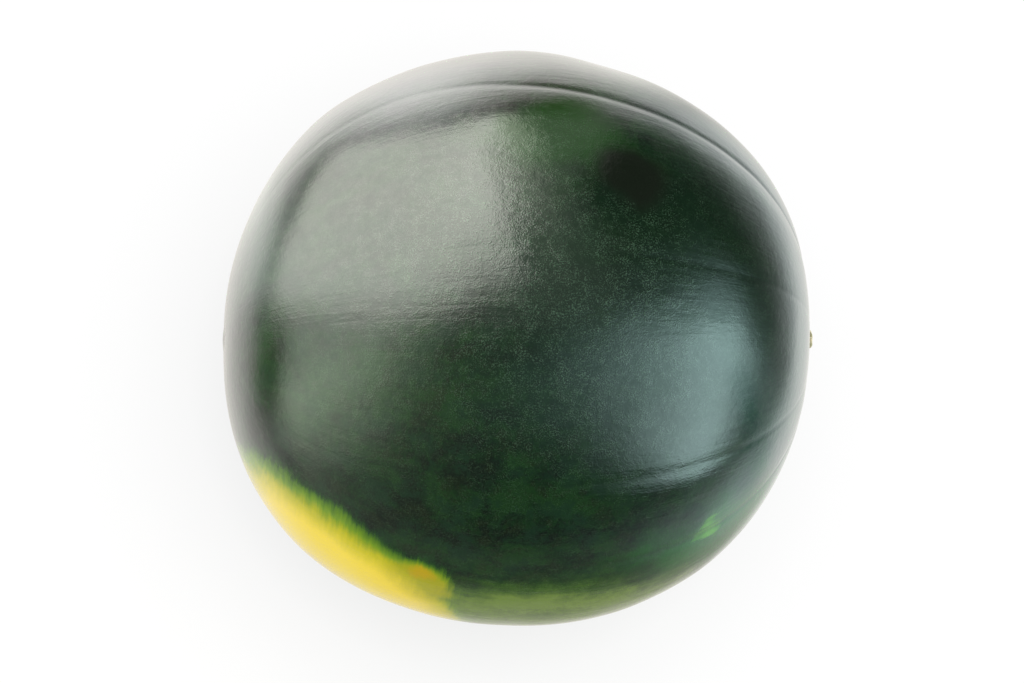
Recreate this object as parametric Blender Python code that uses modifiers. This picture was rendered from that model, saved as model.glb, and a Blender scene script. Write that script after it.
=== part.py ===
"""A small round watermelon with a dark green rind, lying on its side, and the stub of its cut stalk.

Lengths are in metres and +Z is up. The fruit's own axis lies level along X, with the stalk end at +X. The
origin is the centre of the small flat spot that the fruit rests on.

A place on the rind is given by two angles. The polar angle is measured at the fruit's middle from the stalk
end, 0, to the blossom end, pi. The longitude turns about the fruit's axis: 0 is at the top, and it grows
towards +Y.
"""

import math

import bmesh
import bpy
import numpy as np
from mathutils import Matrix, Vector

# The fruit's size, and how it departs from a ball
BODY_RADIUS = 0.1106
LENGTHENING = 0.0133
SHOULDER_SWELL = 0.0088
SIDE_LEAN = 0.0024
SHOULDER_LEAN = 0.0044

# Hollows at the two ends: depth, and the angle over which it dies away
STALK_HOLLOW = (0.0012, math.radians(15))
STALK_PUCKER = (0.0008, math.radians(4.5))
BLOSSOM_HOLLOW = (0.0006, math.radians(7))
BLOSSOM_SCAR = (0.0005, math.radians(2.2))

# Low swells and dents in the outline: polar angle, longitude and reach in degrees, and height
SWELLS = (
    (141, -100, 25, 0.0014),
    (171, -115, 8, -0.0003),
    (132, 81, 11, 0.0006),
    (116, 79, 12, -0.0005),
    (88, 76, 11, 0.0008),
    (73, 74, 8, -0.0008),
    (54, 70, 9, -0.0004),
    (33, 61, 16, 0.0008),
    (12, 9, 13, -0.0003),
    (65, -91, 9, -0.0003),
)

# Furrows from end to end: longitude at the fruit's middle in degrees, depth of the crease, and by how many degrees
# the furrow has turned at the stalk end. It turns as much the other way towards the blossom end.
FURROWS = (
    (8, 0.00012, -2),
    (49.5, 0.0005, -8),
    (87, 0.00022, 0),
    (121, 0.00026, 2),
    (158, 0.00012, -2),
    (195, 0.00012, 2),
    (231, 0.00022, 0),
    (264, 0.00016, 0),
    (301, 0.0002, 0),
    (322, 0.00014, 1.5),
)
CREASE_REACH = math.radians(1.3)
VALLEY_REACH = math.radians(6)
VALLEY_SHARE = 1.5
FURROW_MEAN = 0.5
FURROW_FADE = 0.5

# The flat spot that carries the fruit
REST_RADIUS = 0.018

# The stalk's stub, cut nearly flush, and its seat in the rind
STEM_RADIUS = 0.0035
STEM_ROOT_RADIUS = 0.0046
STEM_PROUD = 0.0042
STEM_RIDGES = 5
STEM_RIDGE_SHARE = 0.06
SEAT_DEPTH = 0.0012
GAP = 0.0003

# How fine the faces are
MERIDIANS = 96
RINGS = 40
STEM_SIDES = 40
ROUND_SIDES = 48
SAMPLES = 3600
CUTTER_SIZE = 0.3


def clear_scene():
    for obj in list(bpy.data.objects):
        bpy.data.objects.remove(obj, do_unlink=True)


def new_collection(name):
    collection = bpy.data.collections.new(name)
    bpy.context.scene.collection.children.link(collection)
    return collection


def surface(name, colour, roughness):
    material = bpy.data.materials.new(name)
    material.use_nodes = True
    shader = material.node_tree.nodes["Principled BSDF"]
    shader.inputs["Base Color"].default_value = (*colour, 1)
    shader.inputs["Roughness"].default_value = roughness
    shader.inputs["Metallic"].default_value = 0
    return material


def add_object(name, mesh, collection):
    obj = bpy.data.objects.new(name, mesh)
    collection.objects.link(obj)
    return obj


def turned_away(longitude, other):
    """The angle from one longitude to another, the short way round."""
    return (longitude - other + math.pi) % math.tau - math.pi


def bell(angle, reach):
    return np.exp(-((angle / reach) ** 2))


def furrow_depth(polar, longitude):
    """How far the furrows sink the rind: a narrow crease in a broad shallow valley, deepest near the stalk."""
    depth = 0.0
    for degrees, crease, _ in FURROWS:
        away = turned_away(longitude, math.radians(degrees))
        depth += crease * (bell(away, CREASE_REACH) + VALLEY_SHARE * bell(away, VALLEY_REACH))
    return depth * math.sin(polar) * (FURROW_MEAN + FURROW_FADE * math.cos(polar))


def true_longitude(polar, longitude):
    """The longitude of a place that lies in line, along the furrows, with the given one at the fruit's middle."""
    sides = [math.radians(degrees) for degrees, _, _ in FURROWS]
    turns = [math.radians(turn) for _, _, turn in FURROWS]
    return longitude + float(np.interp(longitude, sides, turns, period=math.tau)) * math.cos(polar)


def swell_height(polar, longitude):
    """How far the low swells raise the rind, and the dents sink it."""
    height = 0.0
    for middle, side, reach, peak in SWELLS:
        middle, side, reach = math.radians(middle), math.radians(side), math.radians(reach)
        facing = math.cos(polar) * math.cos(middle)
        facing += math.sin(polar) * math.sin(middle) * math.cos(longitude - side)
        height += peak * math.exp((facing - 1) * 2 / reach**2)
    return height


def body_radius(polar, longitude):
    """The distance from the fruit's middle to its rind, for a longitude that is counted along the furrows."""
    side = true_longitude(polar, longitude)
    share = 1 + LENGTHENING * math.cos(2 * polar) - SHOULDER_SWELL * math.cos(4 * polar)
    lean = SIDE_LEAN * math.sin(2 * polar) + SHOULDER_LEAN * math.sin(4 * polar)
    radius = BODY_RADIUS * (share + lean * math.sin(side)) + swell_height(polar, side)
    for depth, reach in (STALK_HOLLOW, STALK_PUCKER):
        radius -= depth * bell(polar, reach)
    radius -= BLOSSOM_HOLLOW[0] * bell(math.pi - polar, BLOSSOM_HOLLOW[1])
    radius += BLOSSOM_SCAR[0] * bell(math.pi - polar, BLOSSOM_SCAR[1])
    return radius - furrow_depth(polar, longitude)


def middle_height():
    """The fruit's middle above the flat spot, so that the cut is as wide as the spot."""
    bottom = body_radius(math.pi / 2, math.pi)
    return math.sqrt(bottom**2 - REST_RADIUS**2)


def rind_point(polar, longitude):
    around = math.sin(polar)
    side = true_longitude(polar, longitude)
    direction = Vector((math.cos(polar), around * math.sin(side), around * math.cos(side)))
    return Vector((0, 0, middle_height())) + direction * body_radius(polar, longitude)


def crowded(count, start, end, crowds, reach, gain):
    """count + 1 angles from start to end, closer together round each of the crowds."""
    fine = np.linspace(start, end, SAMPLES + 1)
    density = np.ones_like(fine)
    for crowd in crowds:
        density += gain * bell(turned_away(fine, crowd), reach)
    total = np.concatenate([[0], np.cumsum((density[1:] + density[:-1]) / 2)])
    return np.interp(np.linspace(0, total[-1], count + 1), total, fine)


def rind_mesh():
    """A globe whose meridians run from end to end, crowded into the furrows, drawn out to the fruit's shape."""
    furrows = [math.radians(degrees) for degrees, _, _ in FURROWS]
    longitudes = crowded(MERIDIANS, -math.pi, math.pi, furrows, math.radians(3.5), 4)
    polars = crowded(RINGS, 0, math.pi, (0, math.pi), math.radians(8), 2)
    bm = bmesh.new()
    bmesh.ops.create_uvsphere(bm, u_segments=MERIDIANS, v_segments=RINGS, radius=1)
    for vert in bm.verts:
        ring = round(math.acos(max(-1, min(1, vert.co.z))) / math.pi * RINGS)
        turn = (math.atan2(vert.co.y, vert.co.x) + math.pi) / math.tau
        vert.co = rind_point(polars[ring], longitudes[round(turn * MERIDIANS) % MERIDIANS])
    bmesh.ops.recalc_face_normals(bm, faces=bm.faces)
    mesh = bpy.data.meshes.new("melon")
    bm.to_mesh(mesh)
    bm.free()
    return mesh


def add_cutter(name, cutters):
    """The primitive that was just added, as a cutter."""
    cutter = bpy.context.object
    cutter.name = name
    cutter.data.name = name
    for collection in list(cutter.users_collection):
        collection.objects.unlink(cutter)
    cutters.objects.link(cutter)
    cutter.hide_render = True
    cutter.display_type = "WIRE"
    return cutter


def cut(obj, cutter):
    boolean = obj.modifiers.new(cutter.name, "BOOLEAN")
    boolean.operation = "DIFFERENCE"
    boolean.solver = "EXACT"
    boolean.object = cutter


def seat_floor():
    """The bottom of the stalk's seat, as a point on the fruit's axis."""
    return rind_point(0, 0) - Vector((SEAT_DEPTH, 0, 0))


def add_melon(collection, cutters):
    melon = add_object("melon", rind_mesh(), collection)
    bpy.ops.mesh.primitive_cube_add(size=CUTTER_SIZE, location=(0, 0, -CUTTER_SIZE / 2))
    cut(melon, add_cutter("rest_cutter", cutters))
    depth = SEAT_DEPTH + STEM_PROUD
    bpy.ops.mesh.primitive_cylinder_add(
        vertices=ROUND_SIDES,
        radius=STEM_ROOT_RADIUS + GAP,
        depth=depth,
        location=seat_floor() + Vector((depth / 2, 0, 0)),
        rotation=(0, math.pi / 2, 0),
    )
    cut(melon, add_cutter("seat_cutter", cutters))
    melon.data.shade_smooth()
    melon.data.set_sharp_from_angle(angle=math.radians(40))
    melon.data.materials.append(surface("waxy dark green rind", (0.026, 0.06, 0.03), 0.3))
    return melon


def stem_profile():
    """Half of the stub's section, from the middle of the cut face, down its side, to the middle of its foot."""
    length = SEAT_DEPTH + STEM_PROUD - GAP
    flare = STEM_ROOT_RADIUS - STEM_RADIUS
    return (
        (0, length - 0.0004),
        (0.0008, length - 0.0003),
        (0.0013, length),
        (STEM_RADIUS - 0.0004, length),
        (STEM_RADIUS, length - 0.0004),
        (STEM_RADIUS, length * 0.7),
        (STEM_RADIUS + flare * 0.3, length * 0.48),
        (STEM_RADIUS + flare * 0.75, length * 0.34),
        (STEM_ROOT_RADIUS, length * 0.22),
        (STEM_ROOT_RADIUS, 0),
        (0, 0),
    )


def add_stem(collection):
    profile = stem_profile()
    bm = bmesh.new()
    verts = [bm.verts.new((radius, 0, height)) for radius, height in profile]
    for first, second in zip(verts, verts[1:]):
        bm.edges.new((first, second))
    outline = bpy.data.meshes.new("stem_outline")
    bm.to_mesh(outline)
    bm.free()
    turned = add_object("stem_outline", outline, collection)
    screw = turned.modifiers.new("turn", "SCREW")
    screw.steps = STEM_SIDES
    screw.render_steps = STEM_SIDES
    screw.use_merge_vertices = True
    screw.merge_threshold = 0.00001
    mesh = bpy.data.meshes.new_from_object(turned.evaluated_get(bpy.context.evaluated_depsgraph_get()))
    bpy.data.objects.remove(turned)

    seated = SEAT_DEPTH - GAP
    length = profile[3][1]
    for vert in mesh.vertices:
        angle = math.atan2(vert.co.y, vert.co.x)
        above = max(0.0, (vert.co.z - seated) / (length - seated))
        swell = 1 + STEM_RIDGE_SHARE * above * math.cos(STEM_RIDGES * angle)
        vert.co.x *= swell
        vert.co.y *= swell
    mesh.transform(Matrix.Rotation(math.pi / 2, 4, "Y"))
    mesh.name = "stem"
    stem = add_object("stem", mesh, collection)
    stem.location = seat_floor() + Vector((GAP, 0, 0))
    mesh.shade_smooth()
    mesh.set_sharp_from_angle(angle=math.radians(40))
    mesh.materials.append(surface("dry corky stalk", (0.42, 0.36, 0.22), 0.8))
    return stem


def main():
    clear_scene()
    collection = new_collection("watermelon")
    cutters = new_collection("cutters")
    add_melon(collection, cutters)
    add_stem(collection)


main()
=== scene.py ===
"""Dresses the frame of a small round watermelon: its waxy dark green rind with a yellow ground spot, and
the dry stub of its stalk.

Lengths are in metres, in the frame's own axes: the fruit lies along X, with the stalk end at +X, and rests
on the origin. A place on the rind is given by two angles, measured at the fruit's middle: the polar angle
from the stalk end, and the longitude round the fruit's axis, 0 at the top and growing towards +Y.
"""

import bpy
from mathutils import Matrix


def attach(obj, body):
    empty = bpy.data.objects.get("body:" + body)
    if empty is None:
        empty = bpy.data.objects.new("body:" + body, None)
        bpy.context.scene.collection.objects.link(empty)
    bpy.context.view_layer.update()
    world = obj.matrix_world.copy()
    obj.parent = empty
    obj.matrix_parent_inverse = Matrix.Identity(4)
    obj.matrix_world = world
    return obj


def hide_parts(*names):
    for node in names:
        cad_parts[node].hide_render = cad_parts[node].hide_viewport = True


bl_info = {
    "name": "Dark Watermelon",
    "version": (1, 0, 0),
    "blender": (4, 5, 0),
    "location": "View3D > Sidebar > Watermelon",
    "description": "Rind, stalk and studio of a small dark watermelon, built round its packed frame",
    "category": "Object",
}

import functools
import math

import bmesh
import bpy
import numpy as np
from bpy.props import FloatProperty, FloatVectorProperty, PointerProperty
from mathutils import Matrix, Vector

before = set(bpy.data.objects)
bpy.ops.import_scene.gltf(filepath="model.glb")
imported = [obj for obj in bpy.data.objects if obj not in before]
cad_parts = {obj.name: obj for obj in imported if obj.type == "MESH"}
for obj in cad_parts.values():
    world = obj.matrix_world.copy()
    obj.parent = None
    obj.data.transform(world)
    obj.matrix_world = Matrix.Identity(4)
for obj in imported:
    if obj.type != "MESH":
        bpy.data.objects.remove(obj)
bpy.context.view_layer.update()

# The fruit's form, as in the frame's own solid
BODY_RADIUS = 0.1106
LENGTHENING = 0.0133
SHOULDER_SWELL = 0.0088
SIDE_LEAN = 0.0024
SHOULDER_LEAN = 0.0044
STALK_HOLLOW = (0.0012, math.radians(15))
STALK_PUCKER = (0.0008, math.radians(4.5))
BLOSSOM_HOLLOW = (0.0006, math.radians(7))
BLOSSOM_SCAR = (0.0005, math.radians(2.2))
REST_RADIUS = 0.018

# Low swells and dents in the outline: polar angle, longitude and reach in degrees, and height
SWELLS = (
    (141, -100, 25, 0.0014),
    (171, -115, 8, -0.0003),
    (132, 81, 11, 0.0006),
    (116, 79, 12, -0.0005),
    (88, 76, 11, 0.0008),
    (73, 74, 8, -0.0008),
    (54, 70, 9, -0.0004),
    (33, 61, 16, 0.0008),
    (12, 9, 13, -0.0003),
    (65, -91, 9, -0.0003),
)

# Furrows from end to end: longitude at the fruit's middle in degrees, depth of the crease, and by how
# many degrees the furrow has turned at the stalk end. At the blossom end it has turned the other way.
FURROWS = (
    (8, 0.00012, -2),
    (49.5, 0.0005, -8),
    (87, 0.00022, 0),
    (121, 0.00026, 2),
    (158, 0.00012, -2),
    (195, 0.00012, 2),
    (231, 0.00022, 0),
    (264, 0.00016, 0),
    (301, 0.0002, 0),
    (322, 0.00014, 1.5),
)
CREASE_REACH = math.radians(1.3)
VALLEY_REACH = math.radians(6)
VALLEY_SHARE = 1.5
FURROW_MEAN = 0.5
FURROW_FADE = 0.5

# The painted shade in a crease: how deep a crease has it in full, and how far it reaches to each side
SHADE_FULL_DEPTH = 0.00024
SHADE_REACH = math.radians(0.7)

# Fine unevenness of the rind: height of each size of wave, and how many fit round the fruit
WAVES = ((0.00007, 14), (0.00005, 24), (0.00003, 42))
WAVES_EACH = 14
WAVE_SEED = 8

# How softly the rind turns into the flat spot that it rests on
PRESSED_EDGE = 0.0004

# Patterns in the rind that run no particular way: how far it is from one wave to the next
MOTTLE_SIZE = 0.014
DRIFT_SIZE = 0.025
TINGE_SIZE = 0.01
WRINKLE_SIZE = 0.0025
CLUSTER_SIZE = 0.005
GRAIN_SIZE = 0.0005

# Patterns drawn out one way: how many waves fit in the fruit's radius, first along it and then across it
STRIPE_WAVES = (1.1, 7.5, 7.5)
CORD_WAVES = (2.6, 27, 27)
FIBRE_WAVES = (12, 110, 110)
STROKE_WAVES = (75, 9, 9)

# Patches of the rind: polar angle and longitude of the middle, reach and soft edge, all in degrees
GREYED_PATCH = ((64, 0), 38, 16)
FRESH_PATCH = ((83.5, 33), 11, 7)
# The next patch is painted shade: darker and greyer where the rind mirrors no lamp
SHADED_PATCH = ((74.8, 25), 7.2, 2.4)
FLANK_PATCH = ((53, -69), 16, 8)
FOOT_PATCH = ((88.5, -109), 41.7, 9)
LIME_DOT = ((57.1, -55.3), 2.2, 1.6)
# The patch of pale grains is partly painted glints
WAX_AND_GLINT_PATCH = ((91, 0), 30, 15)
GROUND_SPOT = ((129.3, -94.5), 24.4, 9)
TONGUE = ((113, -71.5), 7.4, 4)
TONGUE_MIDDLE = ((113, -71.5), 6.6, 2.6)
TONGUE_TIP = ((112, -65.5), 1.6, 1.4)

# Relief of the skin from its lowest to its highest: grains, wrinkles, fibres and cords
GRAIN_HEIGHT = 0.000025
COARSE_GRAIN_HEIGHT = 0.00006
WRINKLE_HEIGHT = 0.000045
FIBRE_HEIGHT = 0.00002
CORD_HEIGHT = 0.00008

# The stalk's stub and its seat
STEM_RADIUS = 0.0035
STEM_ROOT_RADIUS = 0.0046
STEM_PROUD = 0.0042
STEM_RIDGES = 5
STEM_RIDGE_SHARE = 0.06
SEAT_DEPTH = 0.0012
GAP = 0.0003
LIP_HEIGHT = 0.00022
LIP_REACH = math.radians(0.9)

# How the rind breaks off into the seat: from a little inside its reach to a little outside it
SEAT_EDGE = (math.radians(0.06), math.radians(0.12))

# The stub's cut face: how far its rim is worn, and the hollow of its pith, by its radius, the radius and
# depth at the edge of its floor, and its depth in the middle
CUT_EDGE = 0.0004
PITH_RADIUS = 0.0013
PITH_FLOOR = (0.0008, 0.0003)
PITH_DEPTH = 0.0004

# The stub's fibres: how high each size of them stands, how many of the coarsest fit round it, and in how
# many sizes they come
STEM_FIBRE_HEIGHT = 0.000025
STEM_FIBRES_ROUND = 7
STEM_FIBRE_SIZES = 5

# How the cut is torn: its depth, its waves round the stub, and by how many radians they turn in a metre
STEM_TEAR = 0.00006
STEM_TEARS_ROUND = 3
STEM_TEAR_TWIST = 3000

# Patterns in the stub: the fibres' waves in a metre, along it and across it, how far it is from one blotch
# to the next, and how high the fibres stand
STEM_FIBRE_WAVES = (300, 2800, 2800)
STEM_BLOTCH_SIZE = 0.002
STEM_GRAIN_HEIGHT = 0.00006

# How fine the faces are
MERIDIANS = 420
RINGS = 224
STEM_SIDES = 160
STEM_STEPS = 60
SAMPLES = 7200
TENT_RINGS = 240
FLOOR_RINGS = 60
FLOOR_SIDES = 72

# Where the rind's faces lie closer together: how far round a place, and by how much
FURROW_CROWD = (math.radians(2.5), 2.5)
SEAT_CROWD = (math.radians(1), 6)
STALK_CROWD = (math.radians(8), 1)
BLOSSOM_CROWD = (math.radians(5), 2)

# The camera: its distance, the width it takes in there, and where its middle is from the fruit's middle
CAMERA_DISTANCE = 1.4
VIEW_WIDTH = 0.3873
SENSOR_WIDTH = 36
CAMERA_BACK = Vector((-0.12, -0.1588, 0.98))
CAMERA_RIGHT = Vector((0.9928, -0.0192, 0.1185))
MIDDLE_OFFSET = (-0.00183, -0.00076)

# The softboxes in the light tent. Each has its middle, as a mirror ball in the fruit's place would show it
# to the camera: across and up from the middle of the ball, whose edge is 1. Then come its sRGB colour, its
# radiance, how much that grows across and up, and its sides: which way each faces in degrees, how far it
# is from the middle, and how soft it is. One below zero is a black flag.
SOFTBOXES = (
    # The big softbox, upper left
    (
        (-0.435, 0.415),
        "#FCFFF3",
        10.2,
        (2.8, 5.0),
        (
            (182, 0.385, 0.02),
            (164, 0.27, 0.09),
            (160, 0.268, 0.012),
            (141, 0.247, 0.01),
            (102, 0.256, 0.008),
            (94, 0.304, 0.008),
            (106, 0.22, 0.08),
            (8, 0.431, 0.007),
            (-52, 0.377, 0.04),
            (-98, 0.355, 0.045),
        ),
    ),
    # The cool softbox on the right
    (
        (0.49, -0.155),
        "#DBFFFF",
        6.9,
        (11, -8.5),
        (
            (88, 0.22, 0.015),
            (45, 0.27, 0.02),
            (-11, 0.19, 0.03),
            (-51, 0.27, 0.018),
            (-82, 0.295, 0.014),
            (-126, 0.3, 0.055),
            (173, 0.155, 0.105),
            (124, 0.237, 0.25),
        ),
    ),
    # The small softbox, low on the left
    (
        (-0.643, -0.19),
        "#ECFFE6",
        3.9,
        (2.4, 9.7),
        (
            (93, 0.213, 0.032),
            (10, 0.248, 0.1),
            (-31, 0.249, 0.068),
            (-104, 0.177, 0.02),
            (-151, 0.074, 0.2),
            (172, 0.103, 0.02),
        ),
    ),
    # The dark frame round the big softbox
    (
        (-0.435, 0.415),
        "#FFFFFF",
        -0.65,
        (0.8, 0),
        (
            (182, 0.42, 0.02),
            (160, 0.303, 0.012),
            (141, 0.283, 0.012),
            (102, 0.291, 0.01),
            (94, 0.339, 0.01),
            (2, 0.42, 0.04),
            (-52, 0.377, 0.066),
            (-98, 0.3, 0.07),
        ),
    ),
    # A lit curtain beyond the big softbox's right side
    (
        (0.03, 0.6),
        "#F1FFE2",
        3.6,
        (0, 9),
        ((12, 0.031, 0.012), (192, 0.057, 0.009), (97, 0.156, 0.01), (-78, 0.25, 0.06)),
    ),
    # A flag on the left flank
    (
        (-0.81, -0.06),
        "#FFD8FF",
        -0.8,
        (0, 0),
        ((0, 0.055, 0.014), (180, 0.043, 0.014), (90, 0.2, 0.05), (-90, 0.14, 0.04)),
    ),
    # A flag over the patch of painted shade near the top
    (
        (0.2, 0.68),
        "#FFFFFF",
        -0.4,
        (0, 0),
        ((0, 0.1, 0.03), (180, 0.1, 0.03), (90, 0.08, 0.03), (-90, 0.1, 0.03)),
    ),
    # A flag between the cool softbox and the rim
    (
        (0.735, -0.23),
        "#FFE0F0",
        -0.6,
        (0, 0),
        ((20, 0.03, 0.014), (200, 0.03, 0.014), (110, 0.14, 0.05), (-70, 0.1, 0.04)),
    ),
    # A faint glow below the big softbox
    (
        (-0.565, 0.225),
        "#ECFFF2",
        1.9,
        (0, 0),
        ((-7, 0.32, 0.24), (173, 0.32, 0.02), (83, 0.12, 0.07), (-97, 0.12, 0.035)),
    ),
    # The upper part of the cool softbox
    (
        (0.593, 0.036),
        "#D3FFFF",
        8.6,
        (0, 0),
        ((24, 0.115, 0.03), (204, 0.13, 0.18), (114, 0.106, 0.054), (-66, 0.106, 0.1)),
    ),
    # A wide glow left of the middle
    (
        (-0.524, -0.084),
        "#E4FFD6",
        4.3,
        (0, 0),
        ((21, 0.24, 0.13), (201, 0.257, 0.014), (111, 0.023, 0.025), (-69, 0.023, 0.18)),
    ),
)

# What shows only along the fruit's rim, each glow by its middle's azimuth and elevation, half width, half
# height and tilt in degrees, how soft its four edges are (right, left, upper, lower), its sRGB colour and
# its radiance. One below zero is a black flag or a shade.
GLOWS = (
    # A cool glow along the lower right rim
    (-29, -31, 5, 12.5, -37, (7.3, 14.7, 3.5, 3.9), "#E4FFFF", 4.3),
    # A glow along the right rim
    (27, -31, 42, 4.4, 10, (7.4, 7, 6.3, 12), "#F3FFFF", 3.75),
    # A broad pale glow along the upper left rim
    (127.5, -17.3, 63, 46.5, -7, (18.7, 2.4, 13.6, 7.5), "#FFFEFA", 1.55),
    # The bright band along the top
    (88, -26, 28.5, 12.8, 23, (6.2, 9, 5.8, 8.6), "#FFFDFD", 8.9),
    # A faint light high up, behind
    (78.5, 68.6, 33.5, 27.2, -20, (31, 22.6, 10.4, 3.4), "#E1FFE3", 1.1),
    # A flag in the bright band
    (78.3, -27.5, 22, 13.2, 55, (8.6, 8.5, 5.3, 9.6), "#FFFFFF", -8.3),
    # The lit table, all round
    (0, -90, 400, 51.8, 0, (1, 1, 3.8, 3.8), "#FFFAF3", 0.8),
    # A faint fill along the lower flank
    (-75, -20, 45, 10, 0, (12, 12, 6, 6), "#F0FFF4", 0.3),
    # The shade under the ground spot, and the fruit's own shade below
    (-109, -51, 12, 13, 0, (6, 9, 5, 7), "#FFFFFF", -0.3),
    (-72, -55, 40, 14, 0, (10, 12, 5, 8), "#FFFFFF", -0.38),
)
# The room itself, between the lamps
ROOM_GLOW = 0.03

# The lit table: its glow, what it gives back of other light, the fruit's shadow painted into its glow, and
# how far it lies
# # below the fruit, so that the two don't share a plane. Each painted shadow has a middle, a reach and a
# share.
TABLE_GLOW = 0.86
TABLE_ALBEDO = 0.12
PAINTED_TABLE_SHADOWS = (((0, 0), 0.062, 0.85), ((-0.015, -0.012), 0.125, 0.09))
TABLE_DROP = 0.0001


def linear(code):
    """The linear colour of an sRGB hex value."""
    channels = [int(code[start : start + 2], 16) / 255 for start in (1, 3, 5)]
    return tuple(c / 12.92 if c <= 0.04045 else ((c + 0.055) / 1.055) ** 2.4 for c in channels)


def turned_away(longitude, other):
    """The angle from one longitude to another, the short way round."""
    return (longitude - other + math.pi) % math.tau - math.pi


def bell(angle, reach):
    return np.exp(-((angle / reach) ** 2))


def smooth_step(value, start, end):
    share = np.clip((value - start) / (end - start), 0, 1)
    return share * share * (3 - 2 * share)


def furrow_depth(polar, longitude):
    """How far the furrows sink the rind: a crease in a broad shallow valley, deepest near the stalk."""
    depth = 0.0
    for degrees, crease, _ in FURROWS:
        away = turned_away(longitude, math.radians(degrees))
        depth = depth + crease * (bell(away, CREASE_REACH) + VALLEY_SHARE * bell(away, VALLEY_REACH))
    return depth * np.sin(polar) * (FURROW_MEAN + FURROW_FADE * np.cos(polar))


def true_longitude(polar, longitude):
    """The longitude of a place that lies in line, along the furrows, with the given one at the middle."""
    sides = [math.radians(degrees) for degrees, _, _ in FURROWS]
    turns = [math.radians(turn) for _, _, turn in FURROWS]
    return longitude + np.interp(longitude, sides, turns, period=math.tau) * np.cos(polar)


def swell_height(polar, longitude):
    """How far the low swells raise the rind, and the dents sink it."""
    height = 0.0
    for middle, side, reach, peak in SWELLS:
        middle, side, reach = math.radians(middle), math.radians(side), math.radians(reach)
        facing = np.cos(polar) * math.cos(middle)
        facing = facing + np.sin(polar) * math.sin(middle) * np.cos(longitude - side)
        height = height + peak * np.exp((facing - 1) * 2 / reach**2)
    return height


def body_radius(polar, longitude):
    """The distance from the fruit's middle to its rind, for a longitude counted along the furrows."""
    side = true_longitude(polar, longitude)
    share = 1 + LENGTHENING * np.cos(2 * polar) - SHOULDER_SWELL * np.cos(4 * polar)
    lean = SIDE_LEAN * np.sin(2 * polar) + SHOULDER_LEAN * np.sin(4 * polar)
    radius = BODY_RADIUS * (share + lean * np.sin(side)) + swell_height(polar, side)
    for depth, reach in (STALK_HOLLOW, STALK_PUCKER):
        radius = radius - depth * bell(polar, reach)
    radius = radius - BLOSSOM_HOLLOW[0] * bell(np.pi - polar, BLOSSOM_HOLLOW[1])
    radius = radius + BLOSSOM_SCAR[0] * bell(np.pi - polar, BLOSSOM_SCAR[1])
    return radius - furrow_depth(polar, longitude)


MIDDLE = Vector((0, 0, math.sqrt(body_radius(math.pi / 2, math.pi) ** 2 - REST_RADIUS**2)))
STALK_END = body_radius(0, 0)
SEAT_REACH = math.asin((STEM_ROOT_RADIUS + GAP) / STALK_END)


def directions(polar, longitude):
    """Unit vectors from the fruit's middle for two angles, or for two rows of them."""
    around = np.sin(polar)
    return np.stack([np.cos(polar), around * np.sin(longitude), around * np.cos(longitude)], axis=-1)


def unevenness(direction):
    """Low waves that run over the rind every way, so that no reflection in it has a ruled edge."""
    draw = np.random.RandomState(WAVE_SEED)
    height = 0.0
    for size, count in WAVES:
        for _ in range(WAVES_EACH):
            way = draw.normal(size=3)
            way *= count / np.linalg.norm(way)
            phase = draw.uniform(0, math.tau)
            height = height + size / math.sqrt(WAVES_EACH) * np.sin(direction @ way + phase)
    return height


def crowded(count, start, end, crowds):
    """count + 1 angles from start to end, closer together round each crowd: its place, reach and gain."""
    fine = np.linspace(start, end, SAMPLES + 1)
    density = np.ones_like(fine)
    for place, reach, gain in crowds:
        density += gain * bell(turned_away(fine, place), reach)
    total = np.concatenate([[0], np.cumsum((density[1:] + density[:-1]) / 2)])
    return np.interp(np.linspace(0, total[-1], count + 1), total, fine)


def globe_mesh(name, polar, longitude, place):
    """A closed surface over a net of directions, with its poles on the X axis. The function place gives
    its points."""
    inner = polar[1:-1]
    net = np.meshgrid(inner, longitude, indexing="ij")
    first = place(polar[:1], longitude[:1])
    last = place(polar[-1:], longitude[:1])
    points = np.concatenate([first, place(net[0].ravel(), net[1].ravel()), last])
    rows, sides = len(inner), len(longitude)
    index = 1 + np.arange(rows * sides).reshape(rows, sides)
    after = np.roll(index, -1, axis=1)
    quads = np.stack([index[:-1], after[:-1], after[1:], index[1:]], axis=-1).reshape(-1, 4)
    caps = [(0, b, a) for a, b in zip(index[0], after[0])]
    caps += [(len(points) - 1, a, b) for a, b in zip(index[-1], after[-1])]
    mesh = bpy.data.meshes.new(name)
    mesh.from_pydata(points, [], quads.tolist() + [tuple(map(int, cap)) for cap in caps])
    return mesh


def rind_points(polar, longitude):
    """Points of the finished rind: the frame's form with low waves, a seat for the stalk and a pressed
    underside."""
    direction = directions(polar, true_longitude(polar, longitude))
    radius = body_radius(polar, longitude) + unevenness(direction) * np.sqrt(np.sin(polar))
    radius += LIP_HEIGHT * bell(polar - SEAT_REACH - LIP_REACH, LIP_REACH)
    seat = 1 - smooth_step(polar, SEAT_REACH - SEAT_EDGE[0], SEAT_REACH + SEAT_EDGE[1])
    radius -= (SEAT_DEPTH + radius - STALK_END) * seat
    points = np.array(MIDDLE) + direction * radius[:, None]
    points[:, 2] = (points[:, 2] + np.sqrt(points[:, 2] ** 2 + PRESSED_EDGE**2)) / 2
    return points


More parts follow.
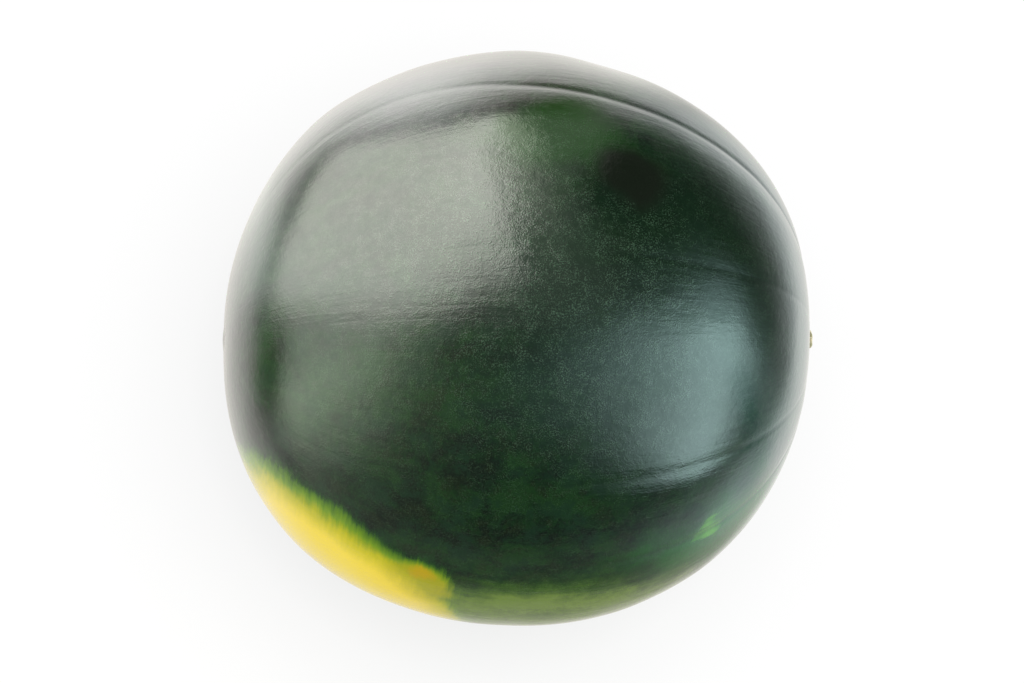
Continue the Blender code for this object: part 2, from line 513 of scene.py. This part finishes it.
def rind_mesh():
    """The rind, with its faces close together in the furrows and at both ends. Its attribute crease says
    how much painted shade each point has as part of the line in a furrow, from 0 to 1."""
    creases = [(math.radians(degrees), *FURROW_CROWD) for degrees, _, _ in FURROWS]
    ends = [(SEAT_REACH, *SEAT_CROWD), (0, *STALK_CROWD), (math.pi, *BLOSSOM_CROWD)]
    polar = crowded(RINGS, 0, math.pi, ends)
    longitude = crowded(MERIDIANS, -math.pi, math.pi, creases)[:-1]
    mesh = globe_mesh("rind", polar, longitude, rind_points)
    # The angles of each point, in the order that the points have in the mesh
    polars = np.concatenate([polar[:1], np.repeat(polar[1:-1], len(longitude)), polar[-1:]])
    sides = np.concatenate([longitude[:1], np.tile(longitude, len(polar) - 2), longitude[:1]])
    # How much painted shade each point has, along the line in each furrow
    crease = 0.0
    for degrees, depth, _ in FURROWS:
        away = turned_away(sides, math.radians(degrees))
        crease = crease + min(1, depth / SHADE_FULL_DEPTH) * bell(away, SHADE_REACH)
    crease = crease * np.sin(polars) * (FURROW_MEAN + FURROW_FADE * np.cos(polars)) ** 2
    mesh.attributes.new("crease", "FLOAT", "POINT").data.foreach_set("value", crease)
    return mesh


def add_node(tree, kind, links=None, out=0, stops=None, **settings):
    """Adds a shader node and gives one of its outputs. Links holds a socket or a value for each input."""
    made = tree.nodes.new("ShaderNode" + kind)
    for name, value in settings.items():
        setattr(made, name, value)
    for socket, value in (links or {}).items():
        if isinstance(value, bpy.types.NodeSocket):
            tree.links.new(value, made.inputs[socket])
        else:
            made.inputs[socket].default_value = value
    if stops:
        elements = made.color_ramp.elements
        while len(elements) < len(stops):
            elements.new(1)
        for element, (position, shade) in zip(elements, stops):
            element.position = position
            element.color = shade
    return made.outputs[out] if made.outputs else made


def new_material(name):
    """An empty material, and a function that adds nodes to it."""
    material = bpy.data.materials.new(name)
    material.use_nodes = True
    material.node_tree.nodes.clear()
    return material, functools.partial(add_node, material.node_tree)


def rgba(shade):
    return (*shade, 1)


def noise(add, place, size, detail, roughness=0.5, distortion=0.0):
    """Soft noise with its waves a given size apart. Detail says how many finer sizes lie on top."""
    settings = {"Scale": 1 / size, "Detail": detail, "Roughness": roughness, "Distortion": distortion}
    return add("TexNoise", {"Vector": place, **settings})


def drawn_out_noise(add, place, waves, detail, roughness=0.5, distortion=0.0):
    """Noise that is longer one way than the others: it has so many waves in a unit of each axis."""
    stretched = add("VectorMath", {0: place, 1: waves}, operation="MULTIPLY")
    return noise(add, stretched, 1.0, detail, roughness, distortion)


def blend(add, share, under, over):
    """The colour under with a share of the colour over laid on it."""
    return add("Mix", {0: share, 6: under, 7: over}, out=2, data_type="RGBA")


def spot(add, direction, patch, waver):
    """1 inside a patch of the rind and 0 outside it. The waver draws its edge in by so many radians."""
    place, reach, edge = patch
    middle = Vector(directions(*np.radians(place)))
    facing = add("VectorMath", {0: direction, 1: middle}, out="Value", operation="DOT_PRODUCT")
    angle = add("Math", {0: facing}, operation="ARCCOSINE")
    moved = add("Math", {0: angle, 1: waver}, operation="ADD")
    limits = {"From Min": math.radians(reach - edge), "From Max": math.radians(reach + edge)}
    fall = {"Value": moved, **limits, "To Min": 1.0, "To Max": 0.0}
    return add("MapRange", fall, interpolation_type="SMOOTHSTEP")


def rind_material(settings):
    """Fresh watermelon rind: a living skin under a film of its own wax. The skin is nearly black green,
    mottled and fibrous from end to end, and the wax gives a soft-edged gloss that fine pale grains break
    up."""
    material, add = new_material("waxy watermelon rind")

    place = add("VectorMath", {0: add("TexCoord", out="Object"), 1: MIDDLE}, operation="SUBTRACT")
    direction = add("VectorMath", {0: place}, operation="NORMALIZE")
    parts = add("SeparateXYZ", {0: direction}).node.outputs
    polar = add("Math", {0: parts["X"]}, operation="ARCCOSINE")
    across = add("CombineXYZ", {"X": 0.0, "Y": parts["Y"], "Z": parts["Z"]})
    around = add("SeparateXYZ", {0: add("VectorMath", {0: across}, operation="NORMALIZE")}).node.outputs
    # The same place with the fruit's length as X and its girth as a circle, for what runs from end to end
    lengthwise = add("CombineXYZ", {"X": polar, "Y": around["Y"], "Z": around["Z"]})

    # Mottling: soft patches 5 to 15 mm across
    mottle = noise(add, place, MOTTLE_SIZE, 5.0, 0.8, 0.4)
    # What loosens the edges of patches
    drift = noise(add, place, DRIFT_SIZE, 2.0)
    # Stripes about 15 mm wide that wander from end to end
    stripes = drawn_out_noise(add, lengthwise, STRIPE_WAVES, 3.0, distortion=0.5)
    # Cords under the skin, about 4 mm apart and ten times as long
    cords = drawn_out_noise(add, lengthwise, CORD_WAVES, 4.0, 0.55, 0.6)
    # Fibres, about 1 mm from one to the next
    fibres = drawn_out_noise(add, lengthwise, FIBRE_WAVES, 3.0, 0.6)
    # Short strokes round the girth, about 1.5 mm wide
    strokes = drawn_out_noise(add, lengthwise, STROKE_WAVES, 2.0, distortion=0.5)
    # Leathery wrinkles
    wrinkles = noise(add, place, WRINKLE_SIZE, 3.0, 0.6, 0.8)
    # Clusters of wax grains, from 5 mm down to 0.6 mm
    clusters = noise(add, place, CLUSTER_SIZE, 3.0, 0.75)
    # Grains of wax and breathing pores
    grain = noise(add, place, GRAIN_SIZE, 1.0, 0.6)
    # Where one green gives way to another
    tinge = noise(add, place, TINGE_SIZE, 4.0, 0.75)

    striped = add("Math", {0: stripes, 1: 0.4}, operation="MULTIPLY")
    patchy = add("Math", {0: mottle, 1: 0.6, 2: striped}, operation="MULTIPLY_ADD")
    skin = add(
        "ValToRGB",
        {0: patchy},
        stops=[
            (0.44, rgba(settings.black_green)),
            (0.5, rgba(settings.dark_green)),
            (0.56, rgba(settings.leaf_green)),
        ],
    )
    browned = add("MapRange", {"Value": tinge, "From Min": 0.52, "From Max": 0.62, "To Max": 0.7})
    skin = blend(add, browned, skin, rgba(settings.bark_green))
    bloomed = add("MapRange", {"Value": tinge, "From Min": 0.48, "From Max": 0.38, "To Max": 0.7})
    skin = blend(add, bloomed, skin, rgba(settings.bloom_green))
    loose = add("Math", {0: drift, 1: 0.5, 2: -0.25}, operation="MULTIPLY_ADD")
    calm = add("Math", {0: drift, 1: 0.2, 2: -0.1}, operation="MULTIPLY_ADD")
    greyed = add("Math", {0: spot(add, direction, GREYED_PATCH, loose), 1: 0.8}, operation="MULTIPLY")
    skin = blend(add, greyed, skin, rgba(settings.grey_green))
    fresh = spot(add, direction, FRESH_PATCH, loose)
    skin = blend(add, fresh, skin, rgba(settings.fresh_green))
    # Painted shade: a darker, greyer patch near the top, where the rind mirrors no lamp
    shaded_patch = spot(add, direction, SHADED_PATCH, calm)
    skin = blend(add, shaded_patch, skin, rgba(settings.shade_green))

    # Below, where the sun never reached, the green grows brighter and then olive
    fray = add("Math", {0: cords, 1: 0.1, 2: -0.05}, operation="MULTIPLY_ADD")
    frayed = add("Math", {0: loose, 1: fray}, operation="ADD")
    flank = spot(add, direction, FLANK_PATCH, frayed)
    skin = blend(add, flank, skin, rgba(settings.bright_green))
    streaky = add("Math", {0: fray, 1: 0.7, 2: calm}, operation="MULTIPLY_ADD")
    foot = spot(add, direction, FOOT_PATCH, streaky)
    uneven = add("Math", {0: stripes, 1: tinge}, operation="ADD")
    uneven = add("Math", {0: uneven, 1: 1.2, 2: -1.2}, operation="MULTIPLY_ADD")
    below = add(
        "ValToRGB",
        {0: add("Math", {0: foot, 1: uneven}, operation="ADD")},
        stops=[
            (0.0, rgba(settings.fringe_green)),
            (0.5, rgba(settings.moss)),
            (1.0, rgba(settings.olive_green)),
        ],
    )
    under = add("MapRange", {"Value": foot, "From Min": 0.0, "From Max": 0.4})
    skin = blend(add, under, skin, below)
    dot = spot(add, direction, LIME_DOT, frayed)
    skin = blend(add, dot, skin, rgba(settings.lime))
    # Painted shade: the bottoms of the furrows are darker
    crease = add("Attribute", out="Fac", attribute_name="crease")
    crease_shade = add("Math", {0: crease, 1: 0.8}, operation="MULTIPLY")
    skin = blend(add, crease_shade, skin, rgba(settings.black_green))

    # Pale grains, partly the wax's own and partly painted glints, thickest in a patch on top near the gloss
    # of the big softbox
    wax_and_glints = spot(add, direction, WAX_AND_GLINT_PATCH, loose)
    dust_and_glints = add("MapRange", {"Value": wax_and_glints, "To Min": 0.14, "To Max": 0.4})
    # No pale grains in the patch of painted shade
    unshaded = add("Math", {0: 1.0, 1: shaded_patch}, operation="SUBTRACT")
    dust_and_glints = add("Math", {0: dust_and_glints, 1: unshaded}, operation="MULTIPLY")
    clustered = add("MapRange", {"Value": clusters, "From Min": 0.35, "From Max": 0.65})
    dust_and_glints = add("Math", {0: dust_and_glints, 1: clustered}, operation="MULTIPLY")
    pale = add("MapRange", {"Value": grain, "From Min": 0.5, "From Max": 0.65, "To Max": dust_and_glints})
    skin = blend(add, pale, skin, rgba(settings.wax_and_glint_grain))

    # The ground spot: where the fruit lay, soft at its edge, with a mustard tongue towards the stalk
    stroked = add("Math", {0: strokes, 1: 0.05}, operation="MULTIPLY")
    brushed = add("Math", {0: calm, 1: 0.6, 2: stroked}, operation="MULTIPLY_ADD")
    brushed = add("Math", {0: brushed, 1: 0.025}, operation="SUBTRACT")
    inwards = spot(add, direction, GROUND_SPOT, brushed)
    tongue = spot(add, direction, TONGUE, brushed)
    reached = add("Math", {0: tongue, 1: 0.4}, operation="MULTIPLY")
    reached = add("Math", {0: inwards, 1: reached}, operation="MAXIMUM")
    ground = add(
        "ValToRGB",
        {0: reached},
        stops=[
            (0.03, rgba(settings.ground_fringe)),
            (0.22, rgba(settings.ground_olive)),
            (0.45, rgba(settings.ground_mustard)),
            (0.9, rgba(settings.ground_yellow)),
        ],
    )
    outside = add("Math", {0: 1.0, 1: inwards}, operation="SUBTRACT")
    ripe = spot(add, direction, TONGUE_MIDDLE, brushed)
    ripe = add("Math", {0: ripe, 1: outside}, operation="MULTIPLY")
    ground = blend(add, ripe, ground, rgba(settings.ground_tan))
    tip = spot(add, direction, TONGUE_TIP, brushed)
    ground = blend(add, tip, ground, rgba(settings.ground_orange))
    # Against the olive skin below, the edge is softer
    edge = add("Math", {0: under, 1: 0.3, 2: 0.12}, operation="MULTIPLY_ADD")
    rise = {"Value": reached, "From Min": 0.0, "From Max": edge}
    covered = add("MapRange", rise, interpolation_type="SMOOTHSTEP")
    skin = blend(add, covered, skin, ground)

    # Relief: the grains are higher in the patch of pale grains and painted glints, and in its clumps
    grainy = add("MapRange", {"Value": wax_and_glints, "To Min": GRAIN_HEIGHT, "To Max": COARSE_GRAIN_HEIGHT})
    clumps = {"Value": clusters, "From Min": 0.35, "From Max": 0.65, "To Min": 0.5, "To Max": 1.5}
    clumped = add("MapRange", clumps)
    grainy = add("Math", {0: grainy, 1: clumped}, operation="MULTIPLY")
    height = add("Math", {0: grain, 1: grainy}, operation="MULTIPLY")
    height = add("Math", {0: wrinkles, 1: WRINKLE_HEIGHT, 2: height}, operation="MULTIPLY_ADD")
    height = add("Math", {0: fibres, 1: FIBRE_HEIGHT, 2: height}, operation="MULTIPLY_ADD")
    # The cords flatten towards both ends, where they would crowd
    near_end = add("Math", {0: parts["X"]}, operation="ABSOLUTE")
    ends = {"Value": near_end, "From Min": 0.6, "From Max": 0.95, "To Min": CORD_HEIGHT, "To Max": 0.0}
    flattened = add("MapRange", ends)
    height = add("Math", {0: cords, 1: flattened, 2: height}, operation="MULTIPLY_ADD")
    bump = add("Bump", {"Strength": 1.0, "Distance": 1.0, "Height": height})

    # The gloss is soft-edged, and a little stronger on each grain and clump of wax
    softness = {"Value": mottle, "From Min": 0.3, "From Max": 0.7, "To Min": 0.05, "To Max": 0.09}
    roughness = add("MapRange", softness)
    gloss = add("Math", {0: grain, 1: 0.15, 2: 0.325}, operation="MULTIPLY_ADD")
    gloss = add("Math", {0: clusters, 1: 0.2, 2: gloss}, operation="MULTIPLY_ADD")
    look = {"Base Color": skin, "Roughness": roughness, "IOR": 1.45, "Specular IOR Level": gloss}
    shader = add("BsdfPrincipled", {**look, "Normal": bump})
    add("OutputMaterial", {"Surface": shader})
    return material


def stalk_profile():
    """Half of the stub's section: the cut face from its middle, the rim, the side, the root and foot."""
    length = SEAT_DEPTH + STEM_PROUD - GAP
    flare = STEM_ROOT_RADIUS - STEM_RADIUS
    return (
        (0, length - PITH_DEPTH),
        (PITH_FLOOR[0], length - PITH_FLOOR[1]),
        (PITH_RADIUS, length),
        (STEM_RADIUS - CUT_EDGE, length),
        (STEM_RADIUS, length - CUT_EDGE),
        (STEM_RADIUS, length * 0.7),
        (STEM_RADIUS + flare * 0.3, length * 0.48),
        (STEM_RADIUS + flare * 0.75, length * 0.34),
        (STEM_ROOT_RADIUS, length * 0.22),
        (STEM_ROOT_RADIUS, 0),
        (0, 0),
    )


def stalk_mesh():
    """The stub, turned about X: blunt ridges, a hollow pith, and a cut face that is a little torn."""
    profile = np.array(stalk_profile())
    run = np.concatenate([[0], np.cumsum(np.hypot(*np.diff(profile, axis=0).T))])
    steps = np.linspace(0, run[-1], STEM_STEPS)
    radii = np.interp(steps, run, profile[:, 0])
    heights = np.interp(steps, run, profile[:, 1])
    length = heights[0] + PITH_DEPTH
    seated = SEAT_DEPTH - GAP
    draw = np.random.RandomState(WAVE_SEED)
    phases = draw.uniform(0, math.tau, STEM_FIBRE_SIZES + 1)
    sizes = range(1, STEM_FIBRE_SIZES + 1)

    bm = bmesh.new()
    rows = []
    for radius, height in zip(radii[1:-1], heights[1:-1]):
        above = max(0.0, (height - seated) / (length - seated))
        row = []
        for side in range(STEM_SIDES):
            angle = side / STEM_SIDES * math.tau
            swell = 1 + STEM_RIDGE_SHARE * above * math.cos(STEM_RIDGES * angle)
            fibre = sum(math.sin(size * STEM_FIBRES_ROUND * angle + phases[size]) for size in sizes)
            tear = math.sin(STEM_TEARS_ROUND * angle + phases[0] + radius * STEM_TEAR_TWIST)
            torn = STEM_TEAR * above * tear
            out = radius * swell + STEM_FIBRE_HEIGHT * above * fibre * radius / STEM_RADIUS
            row.append(bm.verts.new((height - abs(torn), out * math.cos(angle), out * math.sin(angle))))
        rows.append(row)
    ends = [bm.verts.new((heights[0], 0, 0)), bm.verts.new((heights[-1], 0, 0))]
    for side in range(STEM_SIDES):
        after = (side + 1) % STEM_SIDES
        bm.faces.new((ends[0], rows[0][side], rows[0][after]))
        bm.faces.new((ends[1], rows[-1][after], rows[-1][side]))
        for row, below in zip(rows, rows[1:]):
            bm.faces.new((row[side], below[side], below[after], row[after]))
    bmesh.ops.recalc_face_normals(bm, faces=bm.faces)
    mesh = bpy.data.meshes.new("stalk")
    bm.to_mesh(mesh)
    bm.free()
    mesh.transform(Matrix.Translation(MIDDLE + Vector((STALK_END - SEAT_DEPTH + GAP, 0, 0))))
    return mesh


def stalk_material(settings):
    """Dried fruit stalk, cut across: pale corky fibre with a dull open grain, and grey olive where its
    skin has weathered."""
    material, add = new_material("dry cut stalk")
    place = add("VectorMath", {0: add("TexCoord", out="Object"), 1: MIDDLE}, operation="SUBTRACT")
    parts = add("SeparateXYZ", {0: place}).node.outputs
    across = add("CombineXYZ", {"X": 0.0, "Y": parts["Y"], "Z": parts["Z"]})
    off_axis = add("VectorMath", {0: across}, out="Value", operation="LENGTH")
    # Fibres about 0.35 mm apart, which run along the stub and show as dots on its cut face
    fibres = drawn_out_noise(add, place, STEM_FIBRE_WAVES, 3.0, 0.6)
    blotches = noise(add, place, STEM_BLOTCH_SIZE, 2.0)
    wood = add(
        "ValToRGB",
        {0: fibres},
        stops=[
            (0.32, rgba(settings.shade)),
            (0.5, rgba(settings.cork)),
            (0.7, rgba(settings.cut_fibre)),
        ],
    )
    # The weathered skin lies in blotches, and only near the stub's side
    outwards = {"Value": off_axis, "From Min": 0.0029, "From Max": 0.0036, "To Max": 0.75}
    skin_share = add("MapRange", outwards)
    blotched = {"Value": blotches, "From Min": 0.4, "From Max": 0.6}
    weathered = add("MapRange", blotched, interpolation_type="SMOOTHSTEP")
    skin_share = add("Math", {0: skin_share, 1: weathered}, operation="MULTIPLY")
    colour = blend(add, skin_share, wood, rgba(settings.olive))
    bump = add("Bump", {"Strength": 1.0, "Distance": STEM_GRAIN_HEIGHT, "Height": fibres})
    shader = add("BsdfPrincipled", {"Base Color": colour, "Roughness": 0.8, "IOR": 1.45, "Normal": bump})
    add("OutputMaterial", {"Surface": shader})
    return material


def lit_material(name, albedo):
    """Cloth or plastic with lamps behind it: what its points send out, and the share that it gives back."""
    material, add = new_material(name)
    radiance = add("Attribute", attribute_name="radiance")
    glow = add("Emission", {"Color": radiance, "Strength": 1.0})
    matt = add("BsdfDiffuse", {"Color": (albedo, albedo, albedo, 1)})
    add("OutputMaterial", {"Surface": add("AddShader", {0: glow, 1: matt})})
    material.cycles.emission_sampling = "NONE"
    return material


def camera_axes():
    """Unit vectors from the fruit back to the camera, to its right and up."""
    back = CAMERA_BACK.normalized()
    right = (CAMERA_RIGHT - back * CAMERA_RIGHT.dot(back)).normalized()
    return back, right, back.cross(right)


def lit_share(inside, softness):
    """How much of a glow is left so far inside its edge."""
    return 1 / (1 + np.exp(-np.clip(inside / softness, -40, 40)))


def glow_from(direction):
    """What comes from each direction: the dim room, every softbox and every glow in it."""
    back, right, up = camera_axes()
    facing = direction + np.array(back)
    facing /= np.linalg.norm(facing, axis=1, keepdims=True)
    ball = np.stack([facing @ np.array(right), facing @ np.array(up)], axis=1)
    azimuth = np.degrees(np.arctan2(direction[:, 1], direction[:, 0]))
    elevation = np.degrees(np.arcsin(np.clip(direction[:, 2], -1, 1)))
    total = np.full((len(direction), 3), ROOM_GLOW)
    for middle, code, strength, slope, sides in SOFTBOXES:
        offset = ball - middle
        share = strength + offset @ slope
        for degrees, distance, softness in sides:
            outwards = (math.cos(math.radians(degrees)), math.sin(math.radians(degrees)))
            share *= lit_share(distance - offset @ outwards, softness)
        total += share[:, None] * np.array(linear(code))
    for side, rise, half_width, half_height, tilt, edges, code, strength in GLOWS:
        sideways = (azimuth - side + 180) % 360 - 180
        upwards = elevation - rise
        turned = math.radians(tilt)
        across = sideways * math.cos(turned) + upwards * math.sin(turned)
        along = upwards * math.cos(turned) - sideways * math.sin(turned)
        right_edge, left_edge, upper_edge, lower_edge = edges
        share = strength * lit_share(half_width - across, right_edge)
        share *= lit_share(half_width + across, left_edge)
        share *= lit_share(half_height - along, upper_edge) * lit_share(half_height + along, lower_edge)
        total += share[:, None] * np.array(linear(code))
    return np.maximum(total, 0)


def set_radiance(mesh, radiance):
    """Keeps what each point of a lit surface sends out, a colour or one number, with the point."""
    colours = np.ones((len(mesh.vertices), 4))
    colours[:, :3] = radiance
    mesh.attributes.new("radiance", "FLOAT_COLOR", "POINT").data.foreach_set("color", colours.ravel())


def mesh_points(mesh):
    points = np.empty(len(mesh.vertices) * 3)
    mesh.vertices.foreach_get("co", points)
    return points.reshape(-1, 3)


def add_light_tent(collection, radius):
    """A tent round the fruit that only its gloss sees, and that glows where a lamp stands behind it."""
    polar = np.linspace(0, math.pi, TENT_RINGS + 1)
    longitude = np.linspace(-math.pi, math.pi, TENT_RINGS * 2 + 1)[:-1]
    mesh = globe_mesh("light_tent", polar, longitude, directions)
    set_radiance(mesh, glow_from(mesh_points(mesh)))
    mesh.transform(Matrix.Translation(MIDDLE) @ Matrix.Scale(radius, 4))
    mesh.materials.append(lit_material("light tent cloth", 0))
    tent = bpy.data.objects.new("light_tent", mesh)
    collection.objects.link(tent)
    tent.visible_camera = False
    tent.visible_diffuse = False
    tent.visible_shadow = False
    tent.visible_transmission = False
    tent.visible_volume_scatter = False


def add_floor(collection, radius):
    """A wide table of milky plastic, lit evenly from below, with the fruit's shadow round its foot painted
    into its glow.
    """
    steps = radius * np.linspace(0, 1, FLOOR_RINGS) ** 3
    turns = np.linspace(0, math.tau, FLOOR_SIDES + 1)[:-1]
    mesh = bpy.data.meshes.new("floor")
    bm = bmesh.new()
    sides = [(math.cos(turn), math.sin(turn)) for turn in turns]
    rings = [[bm.verts.new((step * x, step * y, 0)) for x, y in sides] for step in steps[1:]]
    bm.faces.new(rings[0])
    for ring, outer in zip(rings, rings[1:]):
        for side in range(FLOOR_SIDES):
            after = (side + 1) % FLOOR_SIDES
            bm.faces.new((ring[side], outer[side], outer[after], ring[after]))
    bm.to_mesh(mesh)
    bm.free()
    points = mesh_points(mesh)
    glow = np.full(len(points), TABLE_GLOW)
    # Painted shadow: the glow is darker round the fruit's foot
    for middle, reach, share in PAINTED_TABLE_SHADOWS:
        glow *= 1 - share * bell(np.hypot(points[:, 0] - middle[0], points[:, 1] - middle[1]), reach)
    set_radiance(mesh, glow[:, None])
    mesh.materials.append(lit_material("milky acrylic light table", TABLE_ALBEDO))
    floor = bpy.data.objects.new("floor", mesh)
    collection.objects.link(floor)
    floor.location.z = -TABLE_DROP
    floor.visible_glossy = False


def add_world(shade, strength):
    world = bpy.data.worlds.new("studio")
    world.use_nodes = True
    background = world.node_tree.nodes["Background"]
    background.inputs["Color"].default_value = rgba(shade)
    background.inputs["Strength"].default_value = strength
    bpy.context.scene.world = world


def add_camera(collection):
    back, right, up = camera_axes()
    target = MIDDLE + right * MIDDLE_OFFSET[0] + up * MIDDLE_OFFSET[1]
    data = bpy.data.cameras.new("camera")
    data.sensor_width = SENSOR_WIDTH
    data.lens = SENSOR_WIDTH * CAMERA_DISTANCE / VIEW_WIDTH
    camera = bpy.data.objects.new("camera", data)
    collection.objects.link(camera)
    turned = Matrix((right, up, back)).transposed().to_4x4()
    camera.matrix_world = Matrix.Translation(target + back * CAMERA_DISTANCE) @ turned
    bpy.context.scene.camera = camera


def collection_named(name):
    found = bpy.data.collections.get(name)
    if not found:
        found = bpy.data.collections.new(name)
        bpy.context.scene.collection.children.link(found)
    return found


def add_piece(name, mesh, material, node):
    """A finished piece that stands for one node of the frame."""
    mesh.materials.append(material)
    mesh.shade_smooth()
    piece = bpy.data.objects.new(name, mesh)
    collection_named("watermelon").objects.link(piece)
    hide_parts(node)
    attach(piece, "root")
    return piece


def shade_property(name, code, description):
    limits = {"size": 3, "min": 0, "max": 1}
    return FloatVectorProperty(
        name=name, description=description, default=linear(code), subtype="COLOR", **limits
    )


class RindSettings(bpy.types.PropertyGroup):
    black_green: shade_property("Black green", "#040E06", "The darkest skin, between the mottles")
    dark_green: shade_property("Dark green", "#071D0A", "The skin over most of the fruit")
    leaf_green: shade_property("Leaf green", "#0F290E", "The lightest mottles of the skin")
    bark_green: shade_property("Bark green", "#0D1706", "The browner patches of the skin")
    bloom_green: shade_property("Bloom green", "#0E2416", "Where even wax turns the skin teal")
    grey_green: shade_property("Grey green", "#0A190E", "The duller skin in the middle of the fruit")
    fresh_green: shade_property("Fresh green", "#0E320A", "The vivid patch near the top")
    # The colour of the patch of painted shade near the top
    shade_green: shade_property("Shade green", "#10160F", "The dark patch beside the vivid one")
    # Partly the wax's own grains, partly painted glints
    wax_and_glint_grain: shade_property("Wax and glint grain", "#4A6650", "The fine pale grains of the wax")
    fringe_green: shade_property("Fringe green", "#0B2C07", "The deep green along the underside")
    bright_green: shade_property("Bright green", "#0B4407", "The skin of the lower flank near the stalk")
    moss: shade_property("Moss", "#2F4A12", "The skin above the foot")
    olive_green: shade_property("Olive green", "#526A1C", "The skin that had no sun")
    lime: shade_property("Lime", "#3F7A10", "A small bright dot low on the right")
    ground_fringe: shade_property("Ground fringe", "#12460A", "The green just outside the ground spot")
    ground_olive: shade_property("Ground olive", "#5E7C08", "The soft edge of the ground spot")
    ground_mustard: shade_property("Ground mustard", "#A39E02", "The ground spot inside its edge")
    ground_tan: shade_property("Ground tan", "#868400", "The tongue of the ground spot")
    ground_orange: shade_property("Ground orange", "#9C8500", "The tip of the tongue")
    ground_yellow: shade_property("Ground yellow", "#D2BA18", "Most of the ground spot")


class StalkSettings(bpy.types.PropertyGroup):
    cut_fibre: shade_property("Cut fibre", "#E6DEC4", "The palest fibres of the cut")
    cork: shade_property("Cork", "#C8BE9C", "Most of the dry stalk")
    shade: shade_property("Shade", "#8A7B58", "Between the fibres")
    olive: shade_property("Olive", "#7F7F5A", "Weathered skin on the ridges")


class StageSettings(bpy.types.PropertyGroup):
    floor_radius: FloatProperty(
        name="Floor radius", description="Radius of the table", default=9, unit="LENGTH"
    )
    tent_radius: FloatProperty(
        name="Tent radius", description="Radius of the light tent", default=2.5, unit="LENGTH"
    )
    daylight: FloatProperty(
        name="Daylight", description="Strength of the even light from all round", default=1.6, min=0
    )


class WATERMELON_OT_rind(bpy.types.Operator):
    """Builds the rind over the frame's melon"""

    bl_idname = "watermelon.rind"
    bl_label = "Build rind"

    def execute(self, context):
        add_piece("rind", rind_mesh(), rind_material(context.scene.watermelon_rind), "melon")
        return {"FINISHED"}


class WATERMELON_OT_stalk(bpy.types.Operator):
    """Builds the stub of the stalk in its seat"""

    bl_idname = "watermelon.stalk"
    bl_label = "Build stalk"

    def execute(self, context):
        add_piece("stalk", stalk_mesh(), stalk_material(context.scene.watermelon_stalk), "stem")
        return {"FINISHED"}


class WATERMELON_OT_stage(bpy.types.Operator):
    """Lays the floor, hangs the lights and stands the camera over the fruit"""

    bl_idname = "watermelon.stage"
    bl_label = "Build stage"

    def execute(self, context):
        settings = context.scene.watermelon_stage
        collection = collection_named("stage")
        add_floor(collection, settings.floor_radius)
        add_light_tent(collection, settings.tent_radius)
        add_world((1, 1, 1), settings.daylight)
        add_camera(collection)
        context.scene.view_settings.view_transform = "Standard"
        return {"FINISHED"}


class WATERMELON_PT_sidebar(bpy.types.Panel):
    bl_label = "Watermelon"
    bl_idname = "WATERMELON_PT_sidebar"
    bl_space_type = "VIEW_3D"
    bl_region_type = "UI"
    bl_category = "Watermelon"

    def draw(self, context):
        for name, _, operators in PARTS:
            box = self.layout.box()
            settings = getattr(context.scene, name)
            for key in settings.__annotations__:
                box.prop(settings, key)
            for operator in operators:
                box.operator(operator.bl_idname)


PARTS = (
    ("watermelon_rind", RindSettings, (WATERMELON_OT_rind,)),
    ("watermelon_stalk", StalkSettings, (WATERMELON_OT_stalk,)),
    ("watermelon_stage", StageSettings, (WATERMELON_OT_stage,)),
)


def register():
    for name, group, operators in PARTS:
        bpy.utils.register_class(group)
        setattr(bpy.types.Scene, name, PointerProperty(type=group))
        for operator in operators:
            bpy.utils.register_class(operator)
    bpy.utils.register_class(WATERMELON_PT_sidebar)


def unregister():
    bpy.utils.unregister_class(WATERMELON_PT_sidebar)
    for name, group, operators in reversed(PARTS):
        for operator in reversed(operators):
            bpy.utils.unregister_class(operator)
        delattr(bpy.types.Scene, name)
        bpy.utils.unregister_class(group)


def main():
    register()
    bpy.ops.watermelon.rind()
    bpy.ops.watermelon.stalk()
    bpy.ops.watermelon.stage()


if __name__ == "__main__":
    main()
